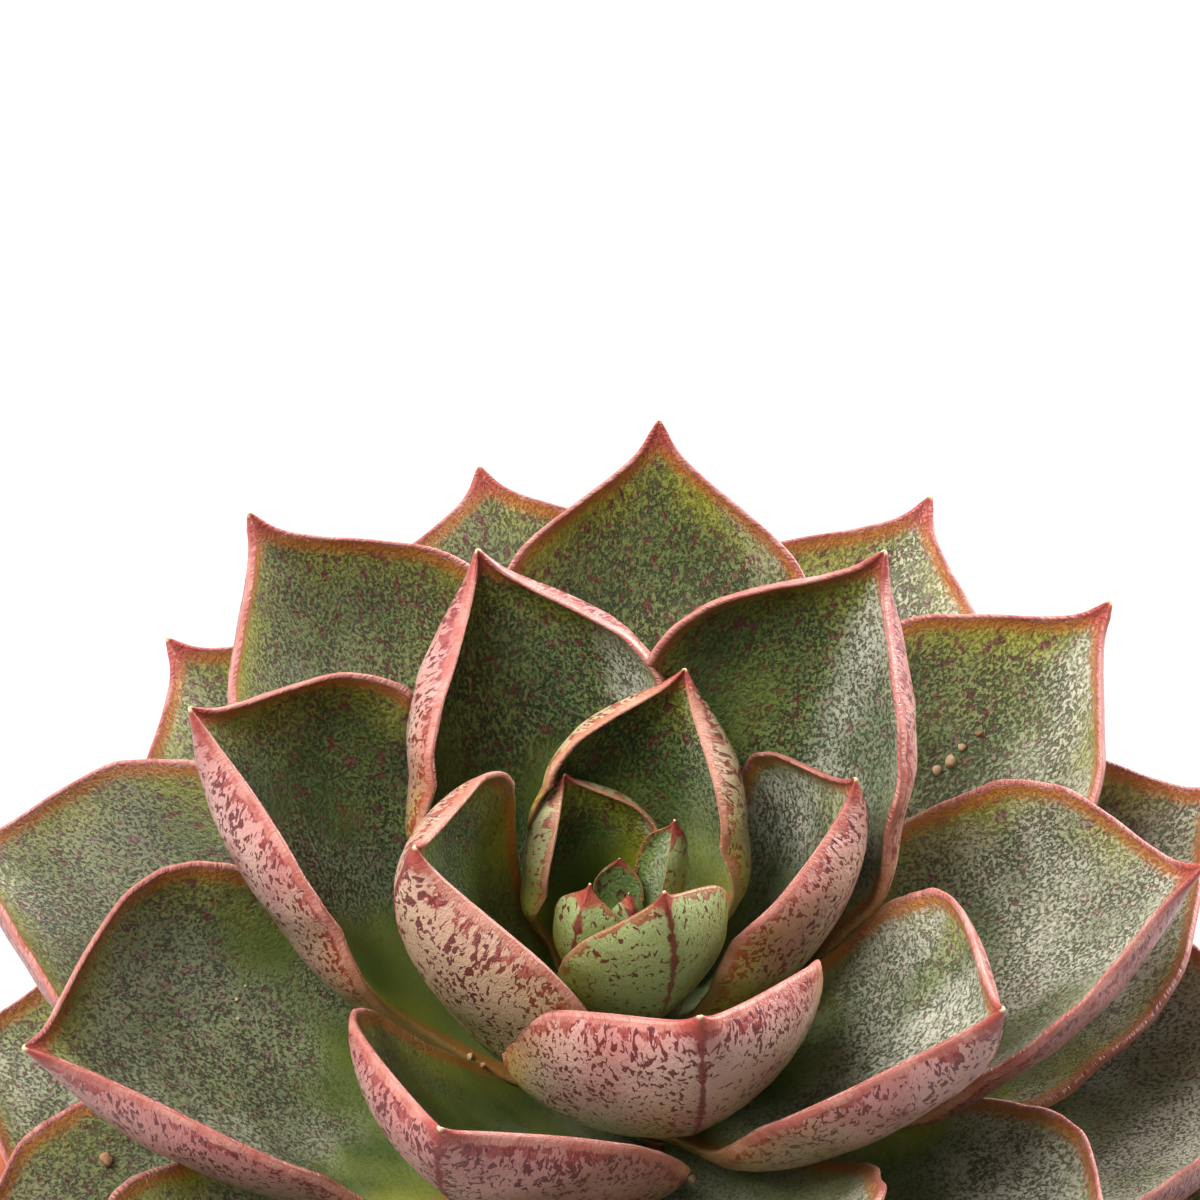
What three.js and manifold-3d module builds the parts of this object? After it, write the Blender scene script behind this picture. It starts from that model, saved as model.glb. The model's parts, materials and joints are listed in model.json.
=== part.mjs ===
// A potted Echeveria purpusorum: a stemless-looking rosette of thick, keeled, sharp-tipped
// leaves round a short stem, growing in potting mix in a plain clay pot.
// Millimetres, +Z up, origin at the centre of the pot's flat base.
import * as THREE from "three";
import { mergeVertices } from "three/addons/utils/BufferGeometryUtils.js";
import Module from "manifold-3d";

const wasm = await Module();
wasm.setup();

const { degToRad, lerp, clamp } = THREE.MathUtils;

// Clearance between pieces that touch, and the smallest detail that a trimmed leaf keeps
const GAP = 0.3;
const SLIVER = 0.06;

// Pot
const POT_HEIGHT = 68;
const POT_TOP_R = 40;
const POT_FOOT_R = 28;
const RIM_HEIGHT = 15;
const RIM_STEP = 2.5;
const RIM_TAPER = 1;
const WALL = 4;
const FLOOR = 5;
const CHAMFER = 1;
const DRAIN_R = 3;
const DRAIN_COUNT = 3;
const DRAIN_CIRCLE_R = 13;
const POT_SIDES = 40;
const DRAIN_SIDES = 10;

// Potting mix
const SOIL_BELOW_RIM = 6;
const SOIL_TOP = POT_HEIGHT - SOIL_BELOW_RIM;
const SOIL_RINGS = 4;
const SOIL_SIDES = 30;
const SOIL_RELIEF = 0.9;
const SOIL_WAVES_X = 0.31;
const SOIL_WAVES_Y = 0.27;
const SOIL_FLAT_EDGE = 1;
const STEM_DEPTH = 14;

// Rosette: leaves are counted from the youngest, and each older one grows lower on the stem
const APEX_HEIGHT = SOIL_TOP + 35;
const LEAF_PITCH = 0.75;
const LEAF_COUNT = 40;
const GOLDEN_ANGLE = 137.5;
const STEM_COVER = 0.6;
const STEM_SIDES = 16;

// Distance from the stem's axis at which a leaf starts, by its age
const SEATS = [[1, 1], [10, 3.5], [30, 5.5], [LEAF_COUNT, 6]];

// A leaf's half width along its length, as a share of W / 2
const OUTLINE = [
  [0, 0.5], [0.15, 0.6], [0.32, 0.82], [0.5, 1.04], [0.66, 1.01],
  [0.78, 0.84], [0.86, 0.52], [0.91, 0.27], [0.95, 0.11], [1, 0],
];

// A leaf's thickness along its length, as a share of its greatest
const BODY = [[0, 0.55], [0.2, 0.8], [0.5, 1], [0.75, 0.84], [0.88, 0.55], [0.95, 0.3], [1, 0.1]];
const THICK_BASE = 0.8;
const THICK_PER_LENGTH = 0.08;

// Thickness of the blunt edge, and the most of the leaf's thickness that it may take
const MARGIN = 0.6;
const MARGIN_SHARE = 0.8;

// The fold grows from this share at the foot to the whole at this place along the leaf
const FOLD_AT_FOOT = 0.35;
const FOLD_WHOLE_AT = 0.6;

// The lower face turns from round at the foot (0) to keeled towards the tip (1)
const KEEL_AT_FOOT = 0.2;
const KEEL_RISE = 0.9;

// Facets across each face, more of them on a leaf folded past this angle
const FACETS = 4;
const FACETS_FOLDED = 6;
const MUCH_FOLDED = 60;

// The slope rises along a leaf by this power of the distance from its base
const RISE_POWER = 0.8;
const SWEEP_POWER = 1.5;
const MIDLINE_STEPS = 40;

// Leaves from the youngest out. Turn anticlockwise from +X, length, width, slope at the foot,
// slope at the tip, roll about the midline, fold of each half, and sideways sweep of the tip.
const LEAVES = [
  [291, 6, 2, 76, 89, 0, 30, 0],
  [86, 5, 2.7, 71, 86, 0, 32, 0],
  [240, 9.5, 4, 56, 104, 5, 19, 0],
  [34, 10, 3.2, 81, 79, -4, 50, -5],
  [286, 17, 9.5, 54, 85, 5, 28, 10],
  [116, 12, 10, 55, 88, -1, 84, 15],
  [71, 17.5, 16, 55, 74, 4, 98, -10],
  [211, 22.5, 19, 46, 83, -16, 72, 0],
  [5, 19.5, 16, 36, 80, -22, 63, 25],
  [288, 23.5, 18, 33, 79, 3, 57, -13],
  [110, 25.5, 21, 27, 74, -7, 94, 15],
  [326, 28, 18.5, 21, 64, 6, 54, -2],
  [159, 29, 19.5, 23, 66, -6, 74, 20],
  [49, 30, 20, 45, 67.5, 18, 73, -16],
  [245, 30, 19, 34.5, 63, -9, 47, 11],
  [280, 32, 21, 19, 52, 1, 34, 1],
  [3, 32.5, 19.5, 15, 50, 4, 47, -9],
  [84, 34.5, 20, 19, 62, 3, 42, 4],
  [36, 35.5, 20, 10, 50, 3, 47, 0],
  [127, 35.5, 21.5, 17, 54, 5, 44, 8],
  [191, 33, 23.5, 20, 44, -5, 59, 19],
  [322, 32, 16, 13, 44, 1, 32, 3],
  [165, 36.5, 23, 8, 40, 4, 35, 10],
  [100, 37, 27.5, 13, 33, 0, 32, 6],
  [22, 35.5, 22.5, 6, 38, 0, 30, 2],
  [225, 35, 23, 8, 40, 0, 32, 0],
  [294, 36, 23, 8, 38, 0, 32, 0],
  [66, 40.5, 24, 4, 38, -2, 32, -8],
  [128, 37, 26, 1, 36, -4, 30, 12],
  [359, 35.5, 26, 6, 36, -6, 41, -17],
];

// The oldest leaves lie hidden below the rest and follow the spiral
const HIDDEN_START = 200;
const HIDDEN_LENGTH = 35;
const HIDDEN_WIDTH = 23;
const HIDDEN_FOOT = -2;
const HIDDEN_TIP = 27;
const HIDDEN_FOLD = 30;
const DROOP_PER_LEAF = 0.4;

// A piecewise straight curve through points
function along(points, x) {
  let i = 0;
  while (i < points.length - 2 && x > points[i + 1][0]) i += 1;
  const [x0, y0] = points[i];
  const [x1, y1] = points[i + 1];
  return lerp(y0, y1, clamp((x - x0) / (x1 - x0), 0, 1));
}

function hiddenLeaf(order) {
  const turn = HIDDEN_START + GOLDEN_ANGLE * order;
  const droop = DROOP_PER_LEAF * order;
  return [turn, HIDDEN_LENGTH, HIDDEN_WIDTH, HIDDEN_FOOT - droop, HIDDEN_TIP - droop, 0, HIDDEN_FOLD, 0];
}

function leafAt(age) {
  const row = LEAVES[age - 1] ?? hiddenLeaf(age - LEAVES.length - 1);
  const [turn, length, width, foot, tip, roll, fold, sweep] = row;
  return { age, turn, length, width, foot, tip, roll, fold, sweep };
}

function headingOf(leaf, s) {
  return degToRad(leaf.turn + leaf.sweep * s ** SWEEP_POWER);
}

// Unit vector along the leaf's midline
function directionOf(leaf, s) {
  const slope = degToRad(leaf.foot + (leaf.tip - leaf.foot) * s ** RISE_POWER);
  const heading = headingOf(leaf, s);
  const level = Math.cos(slope);
  return new THREE.Vector3(level * Math.cos(heading), level * Math.sin(heading), Math.sin(slope));
}

function midlineOf(leaf) {
  const seat = along(SEATS, leaf.age);
  const turn = degToRad(leaf.turn);
  const height = APEX_HEIGHT - LEAF_PITCH * leaf.age;
  const points = [new THREE.Vector3(seat * Math.cos(turn), seat * Math.sin(turn), height)];
  const step = leaf.length / MIDLINE_STEPS;
  for (let i = 0; i < MIDLINE_STEPS; i += 1) {
    const here = directionOf(leaf, i / MIDLINE_STEPS);
    const next = directionOf(leaf, (i + 1) / MIDLINE_STEPS);
    points.push(points[i].clone().addScaledVector(here.add(next), step / 2));
  }
  return points;
}

function pointOn(points, s) {
  const place = s * (points.length - 1);
  const i = Math.min(Math.floor(place), points.length - 2);
  return points[i].clone().lerp(points[i + 1], place - i);
}

// Across and up directions of the leaf's section, rolled about the midline
function sectionFrame(leaf, s) {
  const heading = headingOf(leaf, s);
  const across = new THREE.Vector3(-Math.sin(heading), Math.cos(heading), 0);
  const midline = directionOf(leaf, s);
  const up = midline.clone().cross(across);
  across.applyAxisAngle(midline, degToRad(leaf.roll));
  up.applyAxisAngle(midline, degToRad(leaf.roll));
  return { across, up };
}

// One ring of the leaf: the hollow upper face from one margin to the other, then back
// along the keeled lower face. grow makes the ring that much larger all round.
function ringOf(leaf, midline, s, steps, grow) {
  const { across, up } = sectionFrame(leaf, s);
  const centre = pointOn(midline, s);
  const halfWidth = (leaf.width / 2) * along(OUTLINE, s);
  const fold = degToRad(leaf.fold) * lerp(FOLD_AT_FOOT, 1, Math.min(1, s / FOLD_WHOLE_AT));
  const thickness = (THICK_BASE + THICK_PER_LENGTH * leaf.length) * along(BODY, s);
  const margin = Math.min(MARGIN, MARGIN_SHARE * thickness);
  const keel = Math.min(1, KEEL_AT_FOOT + KEEL_RISE * s);
  const ring = [];
  for (const side of [1, -1]) {
    for (let i = 0; i <= steps; i += 1) {
      const v = side * (1 - (2 * i) / steps);
      const angle = fold * v;
      const radius = halfWidth / fold;
      const normal = up.clone().multiplyScalar(Math.cos(angle)).addScaledVector(across, -Math.sin(angle));
      const outward = across.clone().multiplyScalar(Math.cos(angle)).addScaledVector(up, Math.sin(angle));
      const round = Math.sqrt(Math.max(0, 1 - v * v));
      const depth = margin + (thickness - margin) * lerp(round, 1 - Math.abs(v), keel);
      const drop = side > 0 ? -grow : depth + grow;
      const point = centre.clone();
      point.addScaledVector(across, radius * Math.sin(angle));
      point.addScaledVector(up, radius * (1 - Math.cos(angle)));
      point.addScaledVector(outward, grow * v);
      point.addScaledVector(normal, -drop);
      ring.push(point);
    }
  }
  return ring;
}

function leafGeometry(leaf, grow) {
  const steps = leaf.fold > MUCH_FOLDED ? FACETS_FOLDED : FACETS;
  const midline = midlineOf(leaf);
  const stations = OUTLINE.slice(0, -1).map(([s]) => s);
  const rings = stations.map((s) => ringOf(leaf, midline, s, steps, grow));
  const size = rings[0].length;
  const corners = [];
  for (let j = 1; j < rings.length; j += 1) {
    for (let i = 0; i < size; i += 1) {
      const next = (i + 1) % size;
      corners.push(rings[j - 1][i], rings[j - 1][next], rings[j][next]);
      corners.push(rings[j - 1][i], rings[j][next], rings[j][i]);
    }
  }
  const tip = midline[MIDLINE_STEPS].clone().addScaledVector(directionOf(leaf, 1), grow);
  const foot = rings[0].reduce((sum, p) => sum.add(p), new THREE.Vector3()).divideScalar(size);
  for (let i = 0; i < size; i += 1) {
    const next = (i + 1) % size;
    corners.push(rings.at(-1)[i], rings.at(-1)[next], tip);
    corners.push(foot, rings[0][next], rings[0][i]);
  }
  return new THREE.BufferGeometry().setFromPoints(corners);
}

// A closed solid from a geometry whose triangles may share corners only by position
function solid(geometry) {
  const bare = geometry.clone();
  bare.deleteAttribute("normal");
  bare.deleteAttribute("uv");
  const merged = mergeVertices(bare, 1e-4);
  const index = merged.index.array;
  const triangles = [];
  for (let i = 0; i < index.length; i += 3) {
    const [a, b, c] = [index[i], index[i + 1], index[i + 2]];
    if (a !== b && b !== c && c !== a) triangles.push(a, b, c);
  }
  const mesh = new wasm.Mesh({
    numProp: 3,
    vertProperties: Float32Array.from(merged.attributes.position.array),
    triVerts: Uint32Array.from(triangles),
  });
  return new wasm.Manifold(mesh);
}

function largest(body) {
  return body.decompose().reduce((best, part) => (part.volume() > best.volume() ? part : best));
}

function meshOf(name, body, material) {
  const { vertProperties, triVerts } = body.getMesh();
  const geometry = new THREE.BufferGeometry();
  geometry.setAttribute("position", new THREE.Float32BufferAttribute(vertProperties, 3));
  geometry.setIndex(new THREE.Uint32BufferAttribute(triVerts, 1));
  geometry.computeVertexNormals();
  const mesh = new THREE.Mesh(geometry, material);
  mesh.name = name;
  return mesh;
}

// A solid of revolution about +Z through [radius, height] points listed from the bottom up
function turned(profile, sides) {
  const points = profile.map(([r, z]) => new THREE.Vector2(r, z));
  return new THREE.LatheGeometry(points, sides).rotateX(Math.PI / 2);
}

function potBody() {
  const collarR = POT_TOP_R - RIM_TAPER;
  const shoulderR = collarR - RIM_STEP;
  const innerTopR = POT_TOP_R - WALL;
  const profile = [
    [0, 0],
    [POT_FOOT_R - CHAMFER, 0],
    [POT_FOOT_R, CHAMFER],
    [shoulderR, POT_HEIGHT - RIM_HEIGHT],
    [collarR, POT_HEIGHT - RIM_HEIGHT],
    [POT_TOP_R, POT_HEIGHT - CHAMFER],
    [POT_TOP_R - CHAMFER, POT_HEIGHT],
    [innerTopR, POT_HEIGHT],
    [potInnerR(FLOOR), FLOOR],
    [0, FLOOR],
  ];
  let pot = solid(turned(profile, POT_SIDES));
  for (let i = 0; i < DRAIN_COUNT; i += 1) {
    const angle = (2 * Math.PI * i) / DRAIN_COUNT;
    const hole = new THREE.CylinderGeometry(DRAIN_R, DRAIN_R, 3 * FLOOR, DRAIN_SIDES);
    hole.rotateX(Math.PI / 2);
    hole.translate(DRAIN_CIRCLE_R * Math.cos(angle), DRAIN_CIRCLE_R * Math.sin(angle), 0);
    pot = pot.subtract(solid(hole));
  }
  return pot;
}

// The pot's inner wall is straight from the floor to the rim
function potInnerR(height) {
  const floorR = POT_FOOT_R - WALL;
  const rise = (height - FLOOR) / (POT_HEIGHT - FLOOR);
  return lerp(floorR, POT_TOP_R - WALL, rise);
}

// The stem widens downwards inside the leaves' seats, then goes straight into the soil
function stemProfile(grow) {
  const foot = SOIL_TOP - STEM_DEPTH - grow;
  const neckR = along(SEATS, LEAF_COUNT) + STEM_COVER + grow;
  const profile = [[0, foot], [neckR, foot]];
  for (const [age, seat] of [...SEATS].reverse()) {
    profile.push([seat + STEM_COVER + grow, APEX_HEIGHT - LEAF_PITCH * age]);
  }
  profile.push([0, APEX_HEIGHT + grow]);
  return profile;
}

// Low waves on the soil's surface
function relief(x, y) {
  return SOIL_RELIEF * Math.sin(SOIL_WAVES_X * x) * Math.cos(SOIL_WAVES_Y * y);
}

function soilBody() {
  const wallR = (height) => potInnerR(height) - GAP;
  const bottom = FLOOR + GAP;
  const holeR = along(SEATS, LEAF_COUNT) + STEM_COVER + GAP;
  const outerR = wallR(SOIL_TOP);
  const profile = [[0, bottom], [wallR(bottom), bottom], [outerR, SOIL_TOP]];
  for (let i = 1; i <= SOIL_RINGS; i += 1) {
    profile.push([lerp(outerR, holeR, i / SOIL_RINGS), SOIL_TOP]);
  }
  const holeFloor = SOIL_TOP - STEM_DEPTH - GAP;
  profile.push([holeR, holeFloor], [0, holeFloor]);
  const geometry = turned(profile, SOIL_SIDES);
  const position = geometry.attributes.position;
  for (let i = 0; i < position.count; i += 1) {
    const x = position.getX(i);
    const y = position.getY(i);
    const r = Math.hypot(x, y);
    const open = r > holeR + SOIL_FLAT_EDGE && r < outerR - SOIL_FLAT_EDGE;
    const onTop = position.getZ(i) > SOIL_TOP - SOIL_FLAT_EDGE;
    if (onTop && open) position.setZ(i, SOIL_TOP + relief(x, y));
  }
  return solid(geometry);
}

const clay = new THREE.MeshStandardMaterial({ color: 0xb9714d, roughness: 0.9, metalness: 0 });
const pottingMix = new THREE.MeshStandardMaterial({ color: 0x2f241c, roughness: 1, metalness: 0 });
const bark = new THREE.MeshStandardMaterial({ color: 0x7f8a5c, roughness: 0.8, metalness: 0 });

// Inner leaves are a fresh green, outer ones greyer and duller
function leafMaterial(age) {
  const young = new THREE.Color(0x6f8a4a);
  const old = new THREE.Color(0x6d7059);
  const color = young.lerp(old, age / LEAF_COUNT);
  return new THREE.MeshStandardMaterial({ color, roughness: 0.45, metalness: 0 });
}

const plant = new THREE.Group();
plant.name = "potted_echeveria";
plant.add(meshOf("pot", potBody(), clay));
plant.add(meshOf("soil", soilBody(), pottingMix));
plant.add(meshOf("stem", solid(turned(stemProfile(0), STEM_SIDES)), bark));

// Each leaf keeps clear of the stem and of every younger leaf that lies in its hollow
const taken = [solid(turned(stemProfile(GAP), STEM_SIDES))];
for (let age = 1; age <= LEAF_COUNT; age += 1) {
  const leaf = leafAt(age);
  const whole = solid(leafGeometry(leaf, 0));
  const body = largest(whole.subtract(wasm.Manifold.union(taken)).simplify(SLIVER));
  taken.push(solid(leafGeometry(leaf, GAP)));
  plant.add(meshOf(`leaf_${String(age).padStart(2, "0")}`, body, leafMaterial(age)));
}

export default plant;
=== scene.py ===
import json
import math
from functools import reduce

import bmesh
import bpy
import numpy as np
from bpy.props import FloatProperty, FloatVectorProperty, PointerProperty
from mathutils import Matrix, Vector
from mathutils.noise import noise_vector, seed_set

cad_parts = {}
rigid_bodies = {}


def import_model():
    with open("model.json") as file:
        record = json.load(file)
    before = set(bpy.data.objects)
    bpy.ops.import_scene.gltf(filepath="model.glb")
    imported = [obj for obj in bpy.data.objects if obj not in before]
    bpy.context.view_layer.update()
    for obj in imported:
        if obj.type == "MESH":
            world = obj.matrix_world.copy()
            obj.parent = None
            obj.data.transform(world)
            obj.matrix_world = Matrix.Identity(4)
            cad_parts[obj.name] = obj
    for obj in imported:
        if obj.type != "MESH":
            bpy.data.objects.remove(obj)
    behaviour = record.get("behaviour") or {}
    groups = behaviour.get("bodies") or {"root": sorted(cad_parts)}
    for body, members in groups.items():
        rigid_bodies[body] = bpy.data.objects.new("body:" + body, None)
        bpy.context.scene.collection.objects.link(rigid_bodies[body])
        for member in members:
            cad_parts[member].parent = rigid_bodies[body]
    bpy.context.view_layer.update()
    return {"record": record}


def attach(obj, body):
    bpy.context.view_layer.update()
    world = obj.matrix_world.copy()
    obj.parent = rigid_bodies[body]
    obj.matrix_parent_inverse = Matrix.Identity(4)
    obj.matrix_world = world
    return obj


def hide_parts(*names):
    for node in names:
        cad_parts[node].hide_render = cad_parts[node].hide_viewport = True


bl_info = {
    "name": "Potted echeveria",
    "version": (1, 0, 0),
    "blender": (4, 5, 0),
    "location": "View3D > Sidebar > Echeveria",
    "description": "Builds a small potted echeveria with its leaves, stem, potting mix and clay pot",
    "category": "Add Mesh",
}

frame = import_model()
MM = 0.001

# Rosette, in millimetres and degrees, as in the solids
POT_HEIGHT = 68
SOIL_TOP = POT_HEIGHT - 6
APEX_HEIGHT = SOIL_TOP + 35
LEAF_PITCH = 0.75
LEAF_COUNT = 40
GOLDEN_ANGLE = 137.5
SEATS = ((1, 1), (10, 3.5), (30, 5.5), (LEAF_COUNT, 6))
OUTLINE = (
    (0, 0.5), (0.15, 0.6), (0.32, 0.82), (0.5, 1.04), (0.66, 1.01),
    (0.78, 0.84), (0.86, 0.52), (0.91, 0.26), (0.95, 0.09), (0.975, 0.03), (1, 0),
)
BODY = ((0, 0.55), (0.2, 0.8), (0.5, 1), (0.75, 0.84), (0.88, 0.55), (0.95, 0.25), (1, 0.05))
THICK_BASE = 0.8
THICK_PER_LENGTH = 0.08
MARGIN = 0.42
MARGIN_SHARE = 0.8
FULL_SIZE_WIDTH = 18
FOLD_AT_FOOT = 0.35
FOLD_WHOLE_AT = 0.6
KEEL_AT_FOOT = 0.2
KEEL_RISE = 0.9
RISE_POWER = 0.8
SWEEP_POWER = 1.5

# Leaves from the youngest out. Turn anticlockwise from +X, length, width, slope at the foot,
# slope at the tip, roll about the midline, fold of each half, and sideways sweep of the tip.
LEAVES = (
    (291, 6, 2, 76, 89, 0, 30, 0),
    (86, 5, 2.7, 71, 86, 0, 32, 0),
    (240, 9.5, 4, 56, 104, 5, 19, 0),
    (34, 10, 3.2, 81, 79, -4, 50, -5),
    (286, 17, 9.5, 54, 85, 5, 28, 10),
    (116, 12, 10, 55, 88, -1, 84, 15),
    (71, 17.5, 16, 55, 74, 4, 98, -10),
    (211, 22.5, 19, 46, 83, -16, 72, 0),
    (5, 19.5, 16, 36, 80, -22, 63, 25),
    (288, 23.5, 18, 33, 79, 3, 57, -13),
    (110, 25.5, 21, 27, 74, -7, 94, 15),
    (326, 28, 18.5, 21, 64, 6, 54, -2),
    (159, 29, 19.5, 23, 66, -6, 74, 20),
    (49, 30, 20, 45, 67.5, 18, 73, -16),
    (245, 30, 19, 34.5, 63, -9, 47, 11),
    (280, 32, 21, 19, 52, 1, 34, 1),
    (3, 32.5, 19.5, 15, 50, 4, 47, -9),
    (84, 34.5, 20, 19, 62, 3, 42, 4),
    (36, 35.5, 20, 10, 50, 3, 47, 0),
    (127, 35.5, 21.5, 17, 54, 5, 44, 8),
    (191, 33, 23.5, 20, 44, -5, 59, 19),
    (322, 32, 16, 13, 44, 1, 32, 3),
    (165, 36.5, 23, 8, 40, 4, 35, 10),
    (100, 37, 27.5, 13, 33, 0, 32, 6),
    (22, 35.5, 22.5, 6, 38, 0, 30, 2),
    (225, 35, 23, 8, 40, 0, 32, 0),
    (294, 36, 23, 8, 38, 0, 32, 0),
    (66, 40.5, 24, 4, 38, -2, 32, -8),
    (128, 37, 26, 1, 36, -4, 30, 12),
    (359, 35.5, 26, 6, 36, -6, 41, -17),
)
HIDDEN_START = 200
HIDDEN_LEAF = (35, 23, -2, 27, 0, 30, 0)
DROOP_PER_LEAF = 0.4

# Pot, potting mix and stem
POT_TOP_R = 40
POT_FOOT_R = 28
RIM_HEIGHT = 15
RIM_STEP = 2.5
RIM_TAPER = 1
POT_WALL = 4
POT_FLOOR = 5
POT_ROUNDING = 1.6
POT_SIDES = 160
DRAIN_R = 3
DRAIN_COUNT = 3
DRAIN_CIRCLE_R = 13
TOUCH = 0.3
STEM_COVER = 0.6
STEM_DEPTH = 14
STEM_HOLE_R = SEATS[-1][1] + STEM_COVER + TOUCH
STEM_RINGS = 110
STEM_SIDES = 72
STEM_SCAR = 0.12
SOIL_RELIEF = 0.9
SOIL_WAVES_X = 0.31
SOIL_WAVES_Y = 0.27
SOIL_RINGS = 60
SOIL_SIDES = 160
SOIL_FADE = 2
POT_SHARP = 40
SOIL_SHARP = 50
PIN_SIDES = 48

# Crumbs on the potting mix: least and greatest size in millimetres, and the seed of their places
PEAT_CRUMBS = (0.25, 0.9, 3)
PUMICE_CRUMBS = (0.3, 0.8, 8)
CRUMB_LUMPS = 0.9

# Fineness of a leaf: stations along it, points across each face, points round each margin
STATIONS = 72
ACROSS = 23
ROUND_MARGIN = 3
TIP_CROWDING = 1.5

# Finer form of a leaf, in millimetres: the soft ridge of its keel, its point, the raised bead along
# the margin of its upper face, and its slow unevenness, all of them less where it is thin
KEEL_SOFTNESS = 0.0008
KEEL_DROP = 0.0283
POINT_HALF_WIDTH = 0.02
FULL_THICKNESS = 2
BEAD = 0.07
BEAD_REACH = 0.4
UNEVEN_WIDTH = 0.012
UNEVEN_WIDTH_WAVE = 9
UNEVEN_FACE = 0.12
UNEVEN_FACE_WAVE = 12
UNEVEN_ACROSS = 2.2
RIPPLES = ((1, 2), (0.6, 4.1), (0.3, 8.7))
RIPPLE_HEIGHT = 1.9

# How far a leaf is pressed clear of the younger ones, and how far above and inside it they are found
PRESS_GAP = 0.05
PRESS_STEP = 0.02
ABOVE_REACH = 3.5
INSIDE_REACH = 8

# Shifts of the pattern from one leaf to the next, and between a leaf's two faces
LEAF_PATTERN_STEP = 7.3
FACE_PATTERN_STEP = 3.1

# Sides of the rosette towards which the grey bloom is painted brighter, as painted sheen: a direction,
# and how squarely a place has to face it for the painted sheen to begin and to be full
PAINTED_SHEEN_SIDES = (
    ((-0.35, 0.45, 0.82), 0.42, 0.86),
    ((-0.93, -0.3, 0.2), 0.68, 0.9),
    ((0.75, -0.1, 0.65), 0.72, 1.5),
)

# Grains of sand that lie on the leaves: place and width, in millimetres. The leaf is looked for from
# SAND_DROP above, and the others are the grain's lift above it, and its lumps' height and length.
SAND = (
    (19.5, 16.2, 93.3, 0.5), (18.8, 15.7, 92.6, 0.7), (18.1, 15.5, 92.0, 0.55), (20.4, 16.6, 93.9, 0.4),
    (-28.4, -1.8, 78.9, 0.8), (-7.8, -2.9, 89.9, 0.45), (-7.2, -3.4, 89.9, 0.4), (4.0, -9.5, 87.8, 0.6),
    (-20.5, 0.2, 90.8, 0.2), (-20.4, -0.8, 90.5, 0.2), (-20.1, 1.1, 90.9, 0.15),
)
SAND_DROP = 1
SAND_LIFT = 0.15
SAND_ROUGHNESS = 0.3
SAND_LUMP = 0.4
SAND_SEED = 1

# Studio: half the width of the floor, the width of a light, and each light's name, place and the
# setting for its power, in metres
FLOOR_HALF = 30.0
LIGHT_WIDTH = 0.6
LIGHTS = (
    ("Back right", (0.6, 0.6, 0.36), "back_right_power"),
    ("Top left", (-0.4, -0.1, 0.9), "top_left_power"),
    ("Left", (-0.6, 0.3, 0.6), "left_power"),
    ("Back", (0.0, 0.75, 0.55), "back_power"),
    ("Front", (0.05, -0.6, 0.8), "front_power"),
)

# Camera of the photograph: elevation, distance of the rosette's apex, focal length and the
# apex's place, the last two in pixels of the square photograph
PHOTO_SIZE = 1200
CAMERA_ELEVATION = 47.05
CAMERA_DISTANCE = 238.8
FOCAL_PIXELS = 4504
APEX_PIXEL = (616.3, 931.5)
SENSOR = 36


def smooth_curve(points, x):
    """Monotone cubic curve through points: the solids' straight segments, rounded."""
    px, py = np.array(points, dtype=float).T
    step = np.diff(px)
    slope = np.diff(py) / step
    before, after = slope[:-1], slope[1:]
    w1 = 2 * step[1:] + step[:-1]
    w2 = step[1:] + 2 * step[:-1]
    turns = before * after <= 0
    safe_before = np.where(turns, 1, before)
    safe_after = np.where(turns, 1, after)
    inner = np.where(turns, 0, (w1 + w2) / (w1 / safe_before + w2 / safe_after))
    tangent = np.concatenate(([slope[0]], inner, [slope[-1]]))
    i = np.clip(np.searchsorted(px, x, side="right") - 1, 0, len(step) - 1)
    t = np.clip((x - px[i]) / step[i], 0, 1)
    rise = (2 * t**3 - 3 * t**2 + 1) * py[i] + (3 * t**2 - 2 * t**3) * py[i + 1]
    bend = (t**3 - 2 * t**2 + t) * tangent[i] + (t**3 - t**2) * tangent[i + 1]
    return rise + bend * step[i]


class Leaf:
    """One leaf's sizes, by its age counted from the youngest."""

    def __init__(self, age):
        self.age = age
        if age <= len(LEAVES):
            row = LEAVES[age - 1]
        else:
            order = age - len(LEAVES) - 1
            length, width, foot, tip, roll, fold, sweep = HIDDEN_LEAF
            droop = DROOP_PER_LEAF * order
            turn = HIDDEN_START + GOLDEN_ANGLE * order
            row = (turn, length, width, foot - droop, tip - droop, roll, fold, sweep)
        self.turn, self.length, self.width, self.foot, self.tip, self.roll, self.fold, self.sweep = row

    @property
    def name(self):
        return f"leaf_{self.age:02d}"

    def heading(self, s):
        return np.radians(self.turn + self.sweep * s**SWEEP_POWER)

    def direction(self, s):
        slope = np.radians(self.foot + (self.tip - self.foot) * s**RISE_POWER)
        heading = self.heading(s)
        level = np.cos(slope)
        return np.stack([level * np.cos(heading), level * np.sin(heading), np.sin(slope)], axis=1)

    def midline(self, s):
        fine = np.linspace(0, 1, 401)
        along = self.direction(fine)
        steps = (along[1:] + along[:-1]) / 2 * self.length / (len(fine) - 1)
        seat = np.interp(self.age, *np.array(SEATS).T)
        turn = math.radians(self.turn)
        foot = (seat * math.cos(turn), seat * math.sin(turn), APEX_HEIGHT - LEAF_PITCH * self.age)
        places = np.vstack([[foot], foot + np.cumsum(steps, axis=0)])
        return np.stack([np.interp(s, fine, places[:, k]) for k in range(3)], axis=1)

    def section(self, s):
        """Across and up directions at each station, rolled about the midline."""
        heading = self.heading(s)
        across = np.stack([-np.sin(heading), np.cos(heading), 0 * heading], axis=1)
        up = np.cross(self.direction(s), across)
        roll = math.radians(self.roll)
        rolled = across * math.cos(roll) + up * math.sin(roll)
        return rolled, up * math.cos(roll) - across * math.sin(roll)


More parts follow.
